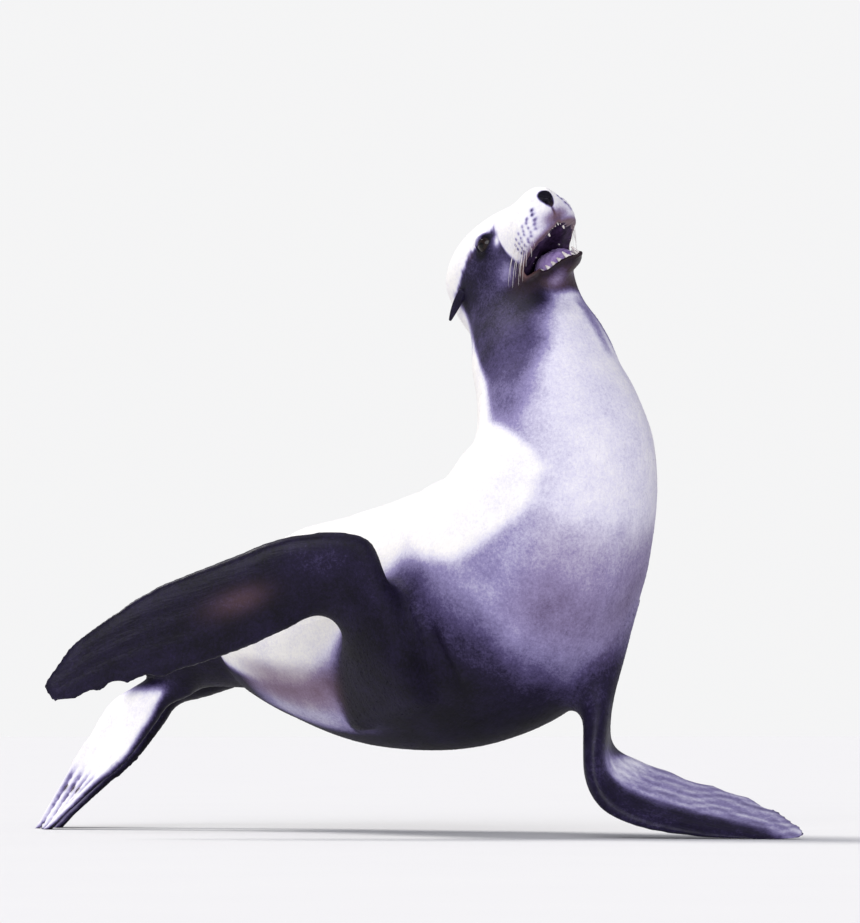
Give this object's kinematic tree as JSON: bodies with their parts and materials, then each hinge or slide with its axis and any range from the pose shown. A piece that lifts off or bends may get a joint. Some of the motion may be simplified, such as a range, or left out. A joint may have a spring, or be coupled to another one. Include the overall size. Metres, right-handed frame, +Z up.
{
  "type": "sea lion figure",
  "caption": "Life-size still figure of a sea lion propped on one fore flipper, head thrown back with its mouth open, the other fore flipper held out to the side.",
  "frame": {"origin": "middle of the figure's bounding box in plan, at the floor that the supporting flipper and the toes rest on", "axes": "+X the way the body faces, +Y the animal's left, +Z up"},
  "size_m": [1.4491, 0.7923, 0.9396],
  "materials": {
    "coat": "short flat wet fur",
    "hide": "smooth wet bare skin",
    "tongue": "wet",
    "eye": "glossy",
    "teeth": "satin",
    "claws": "satin",
    "whiskers": "satin"
  },
  "bodies": {
    "root": {"head": "coat", "lower_jaw": "coat", "tongue": "tongue", "neck_upper": "coat", "neck_lower": "coat", "chest": "coat", "belly": "coat", "hindquarters": "coat", "tail": "coat", "fore_arm_right": "hide", "fore_hand_right": "hide", "fore_arm_left": "hide", "fore_hand_left": "hide", "hind_flipper_right": "hide", "hind_flipper_left": "hide", "eye_left": "eye", "eye_right": "eye", "ear_left": "hide", "ear_right": "hide"}
  },
  "joints": []
}
